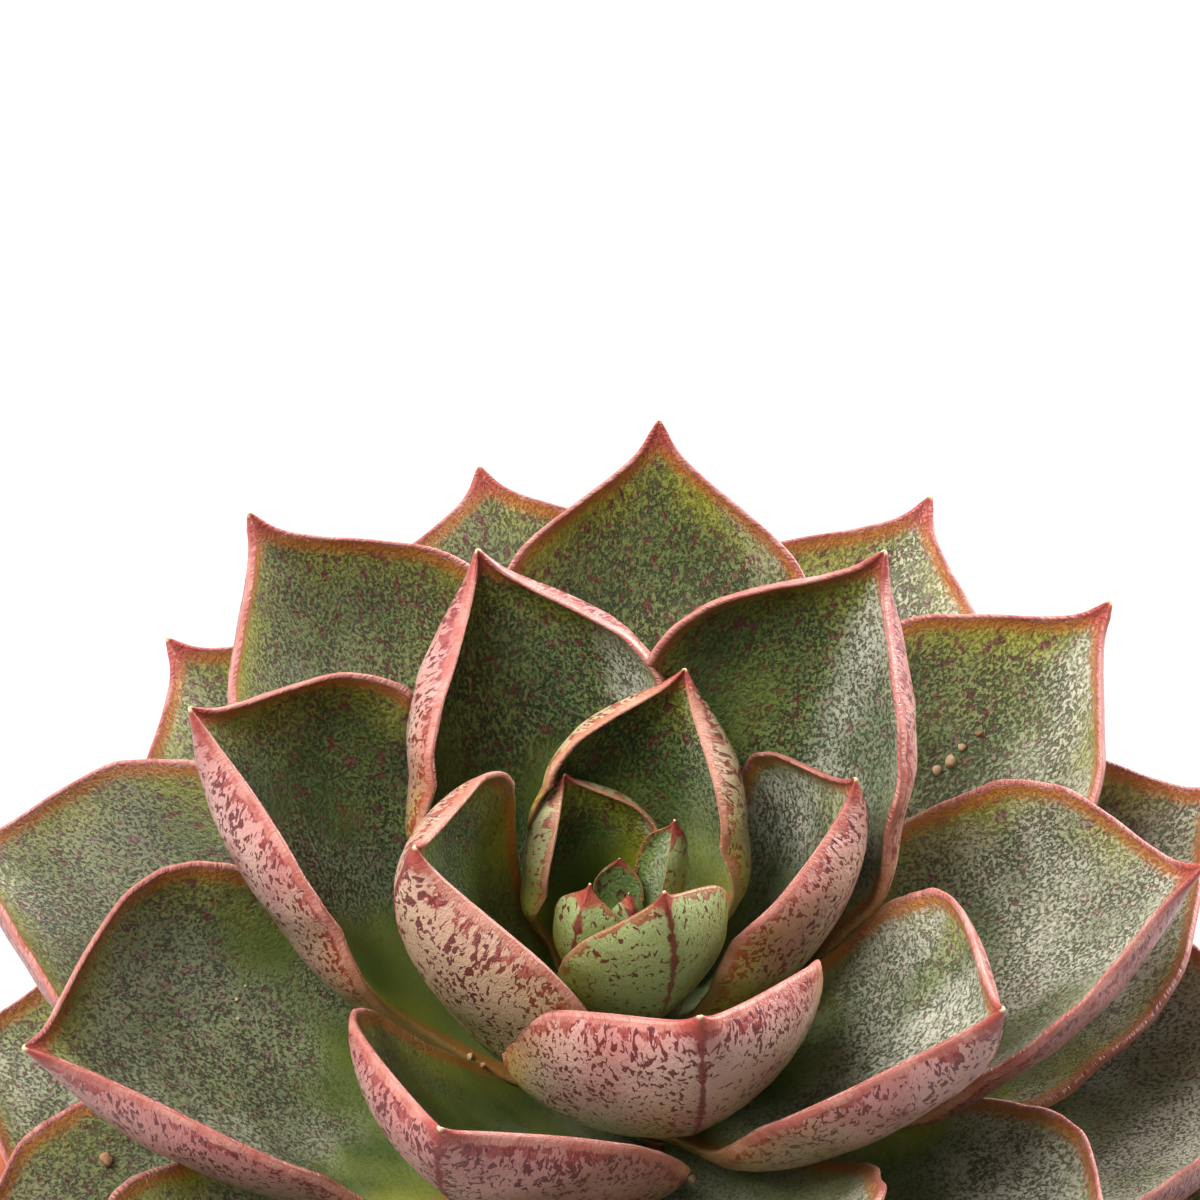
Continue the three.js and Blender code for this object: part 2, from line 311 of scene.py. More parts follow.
def ripple(x, chance):
    """A slow random wave, from -1 to 1."""
    phases = chance.uniform(0, 2 * np.pi, len(RIPPLES))
    waves = [height * np.sin(turns * np.pi * x + phase) for (height, turns), phase in zip(RIPPLES, phases)]
    return (waves[0] + waves[1] + waves[2]) / RIPPLE_HEIGHT


def ring_template():
    """Points round a leaf's section: place across (-1 to 1), face (0 upper, 1 lower) and bulge."""
    spread = np.sin(np.pi / 2 * np.linspace(1, -1, ACROSS))
    turn = np.arange(1, ROUND_MARGIN + 1) / (ROUND_MARGIN + 1)
    place = np.concatenate([spread, -np.ones(ROUND_MARGIN), -spread, np.ones(ROUND_MARGIN)])
    face = np.concatenate([np.zeros(ACROSS), turn, np.ones(ACROSS), 1 - turn])
    bulge = np.concatenate([np.zeros(ACROSS), np.sin(np.pi * turn), np.zeros(ACROSS), np.sin(np.pi * turn)])
    return place, face, bulge


def distance_to_outline(x, y, half_width, along_mm):
    """Shortest distance in the flattened leaf from each point to its margin."""
    start = np.stack([half_width[:-1], along_mm[:-1]], axis=1)
    end = np.stack([half_width[1:], along_mm[1:]], axis=1)
    point = np.stack([np.abs(x).ravel(), y.ravel()], axis=1)[:, None, :]
    edge = end - start
    t = ((point - start) * edge).sum(-1) / np.maximum((edge**2).sum(-1), 1e-9)
    nearest = start + np.clip(t, 0, 1)[..., None] * edge
    return np.sqrt(((point - nearest) ** 2).sum(-1)).min(1).reshape(x.shape)


def leaf_points(leaf):
    """Vertex places in millimetres, and for each vertex its place on the flattened leaf, how far it
    is from the margin, along the leaf and through it, and the direction down from it."""
    s = 1 - np.linspace(1, 0, STATIONS + 1)[:-1] ** TIP_CROWDING
    place, face, bulge = ring_template()
    v = np.broadcast_to(place, (STATIONS, len(place)))
    half_width = leaf.width / 2 * smooth_curve(OUTLINE, s)
    fold = np.radians(leaf.fold) * (FOLD_AT_FOOT + (1 - FOLD_AT_FOOT) * np.minimum(1, s / FOLD_WHOLE_AT))
    thickness = (THICK_BASE + THICK_PER_LENGTH * leaf.length) * smooth_curve(BODY, s)
    margin = np.minimum(MARGIN * min(1, leaf.width / FULL_SIZE_WIDTH), MARGIN_SHARE * thickness)
    keel = np.minimum(1, KEEL_AT_FOOT + KEEL_RISE * s)
    centre = leaf.midline(s)
    across, up = leaf.section(s)

    chance = np.random.default_rng(leaf.age)
    along_mm = s * leaf.length
    half_width = half_width * (1 + UNEVEN_WIDTH * ripple(along_mm / UNEVEN_WIDTH_WAVE, chance))
    half_width = np.maximum(half_width, POINT_HALF_WIDTH)
    solid = np.minimum(1, thickness / FULL_THICKNESS)[:, None]
    swell = UNEVEN_FACE * ripple(along_mm / UNEVEN_FACE_WAVE, chance)[:, None]
    swell = swell * np.cos(UNEVEN_ACROSS * v + chance.uniform(0, 6)) * solid
    angle = fold[:, None] * v
    radius = (half_width / fold)[:, None]
    x_mm = half_width[:, None] * v
    y_mm = np.broadcast_to(along_mm[:, None], v.shape)
    edge = distance_to_outline(x_mm, y_mm, np.append(half_width, 0), np.append(s, 1) * leaf.length)
    rounded = np.sqrt(np.maximum(0, 1 - v**2))
    tent = np.sqrt((1 - np.abs(v)) ** 2 + KEEL_SOFTNESS) - KEEL_DROP
    belly = rounded + (tent - rounded) * keel[:, None]
    depth = margin[:, None] + (thickness - margin)[:, None] * belly
    on_margin = (face > 0) & (face < 1)
    drop = np.where(on_margin, face * margin[:, None], face * depth)
    bead = BEAD * np.exp(-((edge / BEAD_REACH) ** 2)) * solid

    sine, cosine = np.sin(angle)[..., None], np.cos(angle)[..., None]
    a, u = across[:, None, :], up[:, None, :]
    outward = (a * cosine + u * sine) * np.sign(v)[..., None]
    normal = u * cosine - a * sine
    points = centre[:, None, :] + a * (radius * np.sin(angle))[..., None]
    points = points + u * (radius * (1 - np.cos(angle)))[..., None]
    points = points + outward * (bulge * margin[:, None] / 2)[..., None]
    points = points + normal * (bead + swell - drop)[..., None]

    tip = leaf.midline(np.array([1.0]))
    foot = points[0].mean(axis=0, keepdims=True)
    places = np.vstack([points.reshape(-1, 3), tip, foot])
    under = np.broadcast_to(face, v.shape)
    seed = LEAF_PATTERN_STEP * leaf.age
    sheet = np.stack([x_mm, y_mm, seed + FACE_PATTERN_STEP * np.round(under)], axis=-1)
    sheet = np.vstack([sheet.reshape(-1, 3), [[0, leaf.length, seed], [0, 0, seed]]])
    mark = np.stack([edge, np.broadcast_to(s[:, None], v.shape), under], axis=-1)
    mark = np.vstack([mark.reshape(-1, 3), [[0, 1, 0.5], [3, 0, 0.5]]])
    down = np.broadcast_to(-u, points.shape).reshape(-1, 3)
    down = np.vstack([down, -up[-1:], -up[:1]])
    return places, sheet, mark, down


def leaf_look(leaf, mesh):
    """The leaf's age, how squarely each vertex faces a side with painted sheen, and the leaf's size."""
    facing = np.empty(len(mesh.vertices) * 3, dtype=np.float32)
    mesh.vertex_normals.foreach_get("vector", facing)
    facing = facing.reshape(-1, 3)
    # Painted sheen: how squarely each vertex faces the sides of the rosette that light falls from.
    sides = [(facing @ np.array(side) - low) / (high - low) for side, low, high in PAINTED_SHEEN_SIDES]
    sheen_facing = np.max(sides, axis=0)
    age = np.full(len(sheen_facing), leaf.age / LEAF_COUNT)
    size = np.full(len(sheen_facing), min(1, leaf.width / FULL_SIZE_WIDTH))
    return np.stack([age, sheen_facing, size], axis=1)


def ring_faces(rings, size):
    """Quads between the rings, a fan to the tip and a fan closing the foot."""
    faces = []
    for j in range(rings - 1):
        for i in range(size):
            k = (i + 1) % size
            faces.append((j * size + i, j * size + k, (j + 1) * size + k, (j + 1) * size + i))
    tip, foot, last = rings * size, rings * size + 1, (rings - 1) * size
    for i in range(size):
        k = (i + 1) % size
        faces.append((last + i, last + k, tip))
        faces.append((foot, k, i))
    return faces


def new_mesh(name, places, faces):
    """A mesh from places in millimetres."""
    mesh = bpy.data.meshes.new(name)
    mesh.from_pydata((places * MM).tolist(), [], faces)
    return mesh


def new_object(name, mesh):
    piece = bpy.data.objects.new(name, mesh)
    bpy.context.scene.collection.objects.link(piece)
    return piece


def mesh_of(name, shape):
    """A mesh from a bmesh, which ends with it."""
    mesh = bpy.data.meshes.new(name)
    shape.to_mesh(mesh)
    shape.free()
    return mesh


def dress(piece, material, sharp=0):
    """One material and smooth shading, with sharp edges past an angle in degrees where one is given."""
    piece.data.materials.clear()
    piece.data.materials.append(material)
    piece.data.shade_smooth()
    if sharp:
        piece.data.set_sharp_from_angle(angle=math.radians(sharp))


def vector_attribute(mesh, name, values):
    layer = mesh.attributes.new(name, "FLOAT_VECTOR", "POINT")
    layer.data.foreach_set("vector", np.asarray(values, dtype=np.float32).ravel())


def bake(piece):
    """Replaces a piece's mesh with its evaluated one, without its modifiers."""
    graph = bpy.context.evaluated_depsgraph_get()
    final = piece.evaluated_get(graph)
    mesh = bpy.data.meshes.new_from_object(final, preserve_all_data_layers=True, depsgraph=graph)
    old = piece.data
    piece.modifiers.clear()
    piece.data = mesh
    bpy.data.meshes.remove(old)
    mesh.name = piece.name


def declare(piece, slot, *nodes):
    """Ties a piece to the body and to the nodes that it takes the place of; the slot is not used."""
    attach(piece, "root")
    if nodes:
        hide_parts(*nodes)


def slot_of(node):
    """The material slot of a node of the solids."""
    return next(part["material_slot"] for part in frame["record"]["subparts"] if part["node"] == node)


class Wiring:
    """Short ways to lay and join nodes."""

    def __init__(self, tree):
        self.tree = tree

    def node(self, kind, inputs=None, **settings):
        made = self.tree.nodes.new(kind)
        for key, value in settings.items():
            setattr(made, key, value)
        for key, value in (inputs or {}).items():
            self.set(made.inputs[key], value)
        return made

    def set(self, socket, value):
        if isinstance(value, bpy.types.NodeSocket):
            self.tree.links.new(value, socket)
        elif isinstance(value, (tuple, list)) and socket.type == "RGBA" and len(value) == 3:
            socket.default_value = (*value, 1)
        else:
            socket.default_value = value


class Growth(Wiring):
    """A geometry node tree with named inputs and one geometry output."""

    def __init__(self, name, **inputs):
        super().__init__(bpy.data.node_groups.new(name, "GeometryNodeTree"))
        self.tree.interface.new_socket(name="Geometry", in_out="INPUT", socket_type="NodeSocketGeometry")
        for key, kind in inputs.items():
            label = key.replace("_", " ")
            self.tree.interface.new_socket(name=label, in_out="INPUT", socket_type=f"NodeSocket{kind}")
        self.tree.interface.new_socket(name="Geometry", in_out="OUTPUT", socket_type="NodeSocketGeometry")
        self.given = self.node("NodeGroupInput").outputs

    def dot(self, a, b):
        return self.node("ShaderNodeVectorMath", {0: a, 1: b}, operation="DOT_PRODUCT").outputs["Value"]

    def stretched(self, vector, scale):
        return self.node("ShaderNodeVectorMath", {0: vector, "Scale": scale}, operation="SCALE").outputs[0]

    def random_vector(self, low, high, seed):
        given = {"Min": low, "Max": high, "Seed": seed}
        return self.node("FunctionNodeRandomValue", given, data_type="FLOAT_VECTOR").outputs[0]

    def compare(self, operation, a, b):
        return self.node("FunctionNodeCompare", {"A": a, "B": b}, operation=operation).outputs[0]

    def finish(self, geometry):
        whole = self.node("GeometryNodeRealizeInstances", {"Geometry": geometry})
        coated = self.node("GeometryNodeSetMaterial", {
            "Geometry": whole.outputs[0], "Material": self.given["Finish"]})
        self.node("NodeGroupOutput", {"Geometry": coated.outputs[0]})
        return self.tree


def grow(piece, tree, inputs):
    """Runs a geometry node tree on a piece and keeps its result as the piece's mesh."""
    modifier = piece.modifiers.new(tree.name, "NODES")
    modifier.node_group = tree
    for item in tree.interface.items_tree:
        if item.in_out == "INPUT" and item.name in inputs:
            modifier[item.identifier] = inputs[item.name]
    bake(piece)


def press_tree():
    """Moves what lies in or above a younger leaf down through that leaf's underside."""
    g = Growth("Press clear", Younger_leaves="Collection", Gap="Float", Finish="Material")
    others = g.node("GeometryNodeCollectionInfo", {"Collection": g.given["Younger leaves"]})
    others = g.node("GeometryNodeRealizeInstances", {"Geometry": others.outputs[0]}).outputs[0]
    down = g.node("GeometryNodeInputNamedAttribute", {"Name": "leaf_down"}, data_type="FLOAT_VECTOR")
    down = down.outputs[0]
    geometry = g.given["Geometry"]
    above = ("LESS_THAN", ABOVE_REACH, PRESS_STEP * MM)
    inside = ("GREATER_THAN", INSIDE_REACH, g.given["Gap"])
    for facing, reach, beyond in (above, inside):
        ray = g.node("GeometryNodeRaycast", {
            "Target Geometry": others, "Ray Direction": down, "Ray Length": reach * MM})
        side = g.compare(facing, g.dot(ray.outputs["Hit Normal"], down), 0.0)
        held = g.node("FunctionNodeBooleanMath", {0: ray.outputs["Is Hit"], 1: side}, operation="AND")
        far = g.node("ShaderNodeMath", {0: ray.outputs["Hit Distance"], 1: beyond}, operation="ADD")
        geometry = g.node("GeometryNodeSetPosition", {
            "Geometry": geometry, "Selection": held.outputs[0],
            "Offset": g.stretched(down, far.outputs[0])}).outputs[0]
    return g.finish(geometry)


class Finish(Wiring):
    """The nodes of one procedural material."""

    def __init__(self, name):
        self.material = bpy.data.materials.new(name)
        self.material.use_nodes = True
        super().__init__(self.material.node_tree)
        self.shader = self.tree.nodes["Principled BSDF"]

    def surface(self, **values):
        """Sets the shader's sockets, named with _ for each space."""
        for key, value in values.items():
            self.set(self.shader.inputs[key.replace("_", " ")], value)
        return self.material

    def object_place(self):
        return self.node("ShaderNodeTexCoord").outputs["Object"]

    def attribute(self, name):
        return self.node("ShaderNodeAttribute", attribute_name=name).outputs["Vector"]

    def split(self, vector):
        return self.node("ShaderNodeSeparateXYZ", {0: vector}).outputs

    def math(self, operation, a, b=0.0, clamp=False):
        return self.node("ShaderNodeMath", {0: a, 1: b}, operation=operation, use_clamp=clamp).outputs[0]

    def times(self, *values):
        return reduce(lambda a, b: self.math("MULTIPLY", a, b), values)

    def ramp(self, value, low, high, start=0.0, end=1.0):
        """Smooth step of value from low to high."""
        given = dict(enumerate((value, low, high, start, end)))
        return self.node("ShaderNodeMapRange", given, interpolation_type="SMOOTHSTEP").outputs[0]

    def noise(self, vector, scale, detail=1.0, roughness=0.5, distortion=0.0):
        """Noise at one scale, or at a scale for each direction."""
        if isinstance(scale, tuple):
            stretched = self.node("ShaderNodeVectorMath", {0: vector, 1: scale}, operation="MULTIPLY")
            vector, scale = stretched.outputs[0], 1.0
        return self.node("ShaderNodeTexNoise", {
            "Vector": vector, "Scale": scale, "Detail": detail, "Roughness": roughness,
            "Distortion": distortion}).outputs["Fac"]

    def mix(self, factor, a, b):
        return self.node("ShaderNodeMix", {0: factor, 6: a, 7: b}, data_type="RGBA").outputs[2]

    def blotches(self, noise, first, second):
        """Two colours in soft patches."""
        return self.mix(self.ramp(noise, 0.35, 0.65), first, second)

    def bump(self, height, distance, strength=1.0):
        return self.node("ShaderNodeBump", {
            "Strength": strength, "Distance": distance, "Height": height}).outputs["Normal"]


def colour(r, g, b):
    """Linear colour from an everyday 0 to 255 one."""
    return tuple(((c / 255 + 0.055) / 1.055) ** 2.4 if c > 10 else c / 255 / 12.92 for c in (r, g, b))


def upper_colour(n, sheet, edge, along, age, sheen_facing):
    """Smooth green at the foot; towards the tip pale bumps, dark gaps partly of painted shade, flecks and a
    grey bloom partly of painted sheen.
    """
    patches = n.noise(sheet, (0.2, 0.12, 1))
    smooth = n.blotches(patches, colour(62, 82, 22), colour(98, 110, 38))
    rough = n.blotches(patches, colour(66, 90, 26), colour(104, 118, 48))
    rough = n.mix(n.ramp(age, 0.35, 0.75, 0, 0.6), rough, colour(136, 136, 86))
    drift = n.noise(sheet, (0.16, 0.12, 2))
    reach = n.math("ADD", along, n.ramp(drift, 0.3, 0.7, -0.18, 0.18))
    texture = n.ramp(reach, 0.2, 0.62)
    near_edge = n.times(
        n.ramp(edge, 3.6, 0.4), n.ramp(patches, 0.3, 0.6, 0.35, 0.95), n.ramp(along, 0.97, 0.85, 0.2, 1),
        n.ramp(along, 0.15, 0.4, 0.15, 1))
    green = n.mix(texture, smooth, rough)
    green = n.mix(near_edge, green, colour(150, 148, 30))

    clumps = n.noise(sheet, (0.7, 0.45, 5))
    bumps = n.noise(sheet, (5.4, 3.6, 1), detail=3, roughness=0.7, distortion=0.3)
    # Dark gaps where the bumps are low: partly the leaf's dark speckle, partly painted shade in the hollows
    # between the bumps.
    level = n.ramp(clumps, 0.35, 0.65, 0.48, 0.54)
    dark = n.ramp(n.math("SUBTRACT", level, bumps), -0.04, 0.1)
    green = n.mix(n.ramp(age, 0.14, 0.09), green, colour(118, 142, 72))
    deep = n.mix(n.ramp(age, 0.2, 0.7), colour(28, 38, 16), colour(56, 50, 34))
    gap_speckle_and_shade = n.times(
        dark, n.ramp(age, 0.09, 0.17, 0.15, 1), n.times(texture, n.ramp(near_edge, 0.0, 1.0, 0.9, 0.35)))
    green = n.mix(gap_speckle_and_shade, green, deep)
    flecks = n.noise(sheet, (2.4, 1.4, 3), detail=2, distortion=0.6)
    flecks = n.times(n.ramp(flecks, 0.58, 0.63), n.ramp(reach, 0.2, 0.6, 0.1, 0.9))
    green = n.mix(flecks, green, colour(92, 36, 32))

    # Grey bloom towards the tip and in patches, partly the leaf's wax and partly painted sheen: painted
    # brighter on the bump tops and on faces turned to the lit sides.
    bloom_and_sheen = n.times(
        n.ramp(reach, 0.15, 0.7, 0.4, 1), n.ramp(drift, 0.34, 0.56, 0.4, 1), n.ramp(sheen_facing, 0.0, 1.0, 0.1, 1),
        n.ramp(age, 0.1, 0.22, 0.5, 0.95), n.ramp(dark, 0.85, 0.2, 0.2, 1))
    return n.mix(bloom_and_sheen, green, colour(180, 178, 158)), bumps, texture, bloom_and_sheen


def lower_colour(n, sheet, edge, along, age):
    """Pale pink over green at the foot, with wine-red dashes and a red keel."""
    patches = n.noise(sheet, (0.3, 0.18, 1))
    pink = n.blotches(patches, colour(200, 164, 152), colour(178, 130, 122))
    pink = n.mix(n.ramp(age, 0.28, 0.42, 0, 0.7), pink, colour(160, 106, 98))
    pink = n.mix(n.ramp(age, 0.24, 0.2, 0, 0.8), pink, colour(180, 152, 120))
    young = n.ramp(age, 0.2, 0.12)
    pink = n.mix(n.times(young, 0.9), pink, colour(146, 162, 104))
    foot = n.math("ADD", along, n.times(n.math("SUBTRACT", patches, 0.5), 0.6))
    pink = n.mix(n.ramp(foot, 0.78, 0.3), pink, colour(122, 122, 70))
    sunny = n.times(n.ramp(edge, 2.4, 0.6), n.ramp(age, 0.4, 0.2))
    pink = n.mix(n.times(sunny, n.ramp(along, 0.85, 0.45)), pink, colour(162, 156, 66))
    haze = n.times(n.ramp(edge, 2.0, 0.3), n.ramp(age, 0.16, 0.24, 0, 0.4), n.ramp(along, 0.2, 0.6))
    pink = n.mix(haze, pink, colour(178, 94, 92))

    dash = n.noise(sheet, (4.0, 2.5, 1), detail=2, roughness=0.5, distortion=0.7)
    crowd = n.noise(sheet, (0.5, 0.35, 3))
    crowd = n.math("ADD", crowd, n.ramp(edge, 2.2, 0.4, 0, 0.1))
    crowd = n.math("ADD", crowd, n.times(young, -0.3))
    least = n.ramp(crowd, 0.3, 0.75, 0.605, 0.515)
    marks = n.ramp(n.math("SUBTRACT", dash, least), 0.0, 0.025)
    marks = n.times(marks, n.ramp(foot, 0.1, 0.4, 0.35, 0.92))
    warm = n.times(sunny, n.ramp(along, 0.9, 0.5))
    pink = n.mix(marks, pink, n.mix(warm, colour(88, 20, 28), colour(140, 62, 22)))

    ragged = n.noise(sheet, (0.6, 1.4, 1), detail=3)
    wide = n.ramp(ragged, 0.35, 0.65, 0.08, 0.34)
    across = n.split(sheet)[0]
    keel = n.ramp(n.math("ABSOLUTE", across), wide, n.times(wide, 0.3))
    keel = n.times(keel, n.ramp(foot, 0.25, 0.55, 0, 0.9))
    return n.mix(keel, pink, colour(112, 26, 32)), warm


def rim_colour(n, settings, skin, sheet, edge, along, under, age, size, warm):
    """A salmon rim, green-gold towards the foot, over a ragged red line on the lower face."""
    waver = n.noise(sheet, (0.5, 0.5, 1))
    ragged = n.noise(sheet, (1.6, 1.6, 1), detail=3, roughness=0.6)
    apart = n.math("DIVIDE", n.math("ADD", edge, n.ramp(ragged, 0.3, 0.7, -0.1, 0.1)), size)
    halo = n.times(n.ramp(apart, 1.15, 0.35), n.ramp(under, 0.8, 0.2, 0, 0.85))
    skin = n.mix(halo, skin, colour(180, 106, 44))
    frayed = n.math("ADD", apart, n.ramp(ragged, 0.35, 0.65, -0.2, 0.45))
    line = n.times(n.ramp(frayed, 0.46, 0.34), n.ramp(under, 0.6, 0.9), n.ramp(along, 0.1, 0.45, 0.25, 0.8))
    skin = n.mix(line, skin, n.mix(warm, colour(132, 44, 42), colour(158, 78, 34)))

    coral = n.blotches(waver, tuple(settings.edge_colour), colour(190, 128, 114))
    speckle = n.noise(sheet, (4.5, 3.5, 1))
    coral = n.mix(n.ramp(speckle, 0.5, 0.68, 0, 0.55), coral, colour(158, 74, 62))
    gold = n.math("ADD", n.ramp(along, 0.7, 0.25), n.ramp(age, 0.25, 0.1, 0, 0.6), clamp=True)
    coral = n.mix(n.times(gold, 0.75), coral, colour(150, 132, 64))
    width = settings.edge_width / MM
    rim = n.ramp(apart, width * 1.3, width * 0.7)
    strength = n.times(n.ramp(along, 0.0, 0.25, 0.4, 1), n.ramp(age, 0.07, 0.16, 0.35, 1))
    skin = n.mix(n.times(rim, strength), skin, coral)
    point = n.ramp(age, 0.08, 0.14, 0.07, 0)
    tip = n.ramp(n.math("ADD", along, point), 0.93, 0.972, 0, 0.9)
    skin = n.mix(tip, skin, tuple(settings.tip_colour))
    return n.mix(n.ramp(along, 0.992, 0.999), skin, colour(222, 190, 150)), waver


def leaf_material(settings):
    n = Finish("Mottled succulent leaf")
    sheet = n.attribute("leaf_sheet")
    edge, along, under = n.split(n.attribute("leaf_mark"))
    age, sheen_facing, size = n.split(n.attribute("leaf_look"))

    top, bumps, texture, bloom_and_sheen = upper_colour(n, sheet, edge, along, age, sheen_facing)
    below, warm = lower_colour(n, sheet, edge, along, age)
    skin = n.mix(n.ramp(under, 0.2, 0.8), top, below)
    skin, waver = rim_colour(n, settings, skin, sheet, edge, along, under, age, size, warm)
    gloss = n.math("ADD", n.times(bloom_and_sheen, 0.1), n.ramp(waver, 0.3, 0.7, 0.3, 0.38))
    relief = n.times(n.math("ADD", texture, 0.25, clamp=True), n.ramp(under, 0.2, 0.8, 1, 0.4))
    return n.surface(
        Base_Color=skin, Roughness=gloss, Specular_IOR_Level=0.5,
        Normal=n.bump(n.ramp(bumps, 0.38, 0.58), 0.08 * MM, relief))


def clay_material(settings):
    n = Finish("Unglazed terracotta")
    place = n.object_place()
    cloud = n.noise(place, 34, 3, 0.6)
    grain = n.noise(place, 900, 3, 0.7)
    height = n.split(place)[2]
    clay = n.blotches(cloud, tuple(settings.clay_colour), colour(186, 112, 76))
    clay = n.mix(n.ramp(grain, 0.55, 0.75, 0, 0.35), clay, colour(120, 66, 44))
    damp = n.times(n.ramp(height, 0.02, 0.004), n.ramp(cloud, 0.3, 0.6, 0.2, 0.6))
    clay = n.mix(damp, clay, colour(126, 70, 48))
    salt = n.noise(place, 60, 4, 0.7)
    salt = n.times(n.ramp(salt, 0.56, 0.72), n.ramp(height, 0.03, 0.065, 0.1, 0.6))
    clay = n.mix(salt, clay, colour(214, 188, 168))
    rings = n.node("ShaderNodeTexWave", {
        "Vector": place, "Scale": 190.0, "Distortion": 3.0, "Detail": 2.0},
        wave_type="BANDS", bands_direction="Z")
    relief = n.math("ADD", grain, n.times(rings.outputs["Fac"], 0.5))
    return n.surface(
        Base_Color=clay, Roughness=n.ramp(cloud, 0.3, 0.7, 0.78, 0.92), Specular_IOR_Level=0.3,
        Normal=n.bump(relief, 0.12 * MM, 0.7))


def soil_material():
    n = Finish("Dark potting mix")
    place = n.object_place()
    lumps = n.noise(place, 260, 4, 0.7)
    fibre = n.noise(place, (1400, 500, 900), 3, 0.7)
    earth = n.blotches(lumps, colour(34, 25, 18), colour(76, 56, 40))
    earth = n.mix(n.ramp(fibre, 0.6, 0.75, 0, 0.6), earth, colour(118, 90, 62))
    return n.surface(
        Base_Color=earth, Roughness=0.95, Specular_IOR_Level=0.2,
        Normal=n.bump(n.math("ADD", lumps, fibre), 0.4 * MM, 0.9))


def stem_material():
    n = Finish("Leaf-scarred stem")
    cloud = n.noise(n.object_place(), (300, 300, 900), 3, 0.6)
    bark = n.blotches(cloud, colour(96, 98, 58), colour(136, 116, 84))
    return n.surface(Base_Color=bark, Roughness=0.75, Normal=n.bump(cloud, 0.3 * MM, 0.8))


def grain_material(name, dark, light):
    n = Finish(name)
    place = n.object_place()
    patch = n.noise(place, 420, 1, 0.5)
    speck = n.noise(place, 2400, 3, 0.7)
    stone = n.mix(n.ramp(patch, 0.38, 0.62), dark, light)
    stone = n.mix(n.ramp(speck, 0.5, 0.7, 0, 0.5), stone, dark)
    return n.surface(Base_Color=stone, Roughness=0.9, Normal=n.bump(speck, 0.08 * MM, 0.8))


def floor_material(shade, glow):
    n = Finish("Plain white floor")
    tone = n.ramp(n.noise(n.object_place(), 6, 1, 0.5), 0.3, 0.7, shade - 0.01, shade)
    grey = n.node("ShaderNodeCombineColor", {0: tone, 1: tone, 2: tone}).outputs[0]
    return n.surface(
        Base_Color=grey, Roughness=0.8, Specular_IOR_Level=0.1, Emission_Color=(1, 1, 1),
        Emission_Strength=glow)


class EcheveriaLeafSettings(bpy.types.PropertyGroup):
    edge_width: FloatProperty(
        name="Edge width", description="Width of the red edge on each face", default=0.16 * MM,
        min=0, max=3 * MM, unit="LENGTH", precision=5)
    edge_colour: FloatVectorProperty(
        name="Edge colour", description="Main colour of the red edge", subtype="COLOR",
        default=colour(168, 94, 82), min=0, max=1)
    tip_colour: FloatVectorProperty(
        name="Tip colour", description="Colour of the hard point of a leaf", subtype="COLOR",
        default=colour(158, 64, 54), min=0, max=1)


class EcheveriaPotSettings(bpy.types.PropertyGroup):
    clay_colour: FloatVectorProperty(
        name="Clay colour", description="Main colour of the unglazed clay", subtype="COLOR",
        default=colour(168, 92, 60), min=0, max=1)


class EcheveriaSoilSettings(bpy.types.PropertyGroup):
    peat_density: FloatProperty(
        name="Peat crumbs", description="Dark crumbs on a square metre of the surface",
        default=450000, min=0)
    grit_density: FloatProperty(
        name="Pale grit", description="Pale grains on a square metre of the surface", default=45000, min=0)


class EcheveriaStageSettings(bpy.types.PropertyGroup):
    floor_shade: FloatProperty(
        name="Floor shade", description="How much light the floor throws back",
        default=0.38, min=0, max=1, subtype="FACTOR")
    floor_glow: FloatProperty(
        name="Floor glow", description="Light from the floor, as from a light table", default=0.2, min=0)
    back_right_power: FloatProperty(
        name="Back right light", description="Power of the light behind on the right",
        default=20, min=0, unit="POWER")
    top_left_power: FloatProperty(
        name="Top left light", description="Power of the light overhead on the left",
        default=13, min=0, unit="POWER")
    left_power: FloatProperty(
        name="Left light", description="Power of the light on the left", default=6, min=0, unit="POWER")
    back_power: FloatProperty(
        name="Back light", description="Power of the light behind", default=4, min=0, unit="POWER")
    front_power: FloatProperty(
        name="Front light", description="Power of the soft light in front",
        default=1.5, min=0, unit="POWER")
    sky: FloatProperty(
        name="Room light", description="Strength of the even light all round", default=0.05, min=0)


class ECHEVERIA_OT_leaves(bpy.types.Operator):
    """Builds every leaf, from the youngest out, each pressed clear of the ones it holds"""

    bl_idname = "echeveria.leaves"
    bl_label = "Leaves"

    def execute(self, context):
        material = leaf_material(context.scene.echeveria_leaves)
        size = 2 * (ACROSS + ROUND_MARGIN)
        faces = ring_faces(STATIONS, size)
        finished = bpy.data.collections.new("Finished leaves")
        tree = press_tree()
        for age in range(1, LEAF_COUNT + 1):
            leaf = Leaf(age)
            places, sheet, mark, down = leaf_points(leaf)
            mesh = new_mesh(f"{leaf.name}_fine", places, faces)
            vector_attribute(mesh, "leaf_sheet", sheet)
            vector_attribute(mesh, "leaf_mark", mark)
            vector_attribute(mesh, "leaf_look", leaf_look(leaf, mesh))
            vector_attribute(mesh, "leaf_down", down)
            mesh.materials.append(material)
            mesh.shade_smooth()
            piece = new_object(f"{leaf.name}_fine", mesh)
            if age > 1:
                grow(piece, tree, {"Younger leaves": finished, "Gap": PRESS_GAP * MM, "Finish": material})
            finished.objects.link(piece)
            declare(piece, slot_of(leaf.name), leaf.name)
        bpy.data.collections.remove(finished)
        return {"FINISHED"}


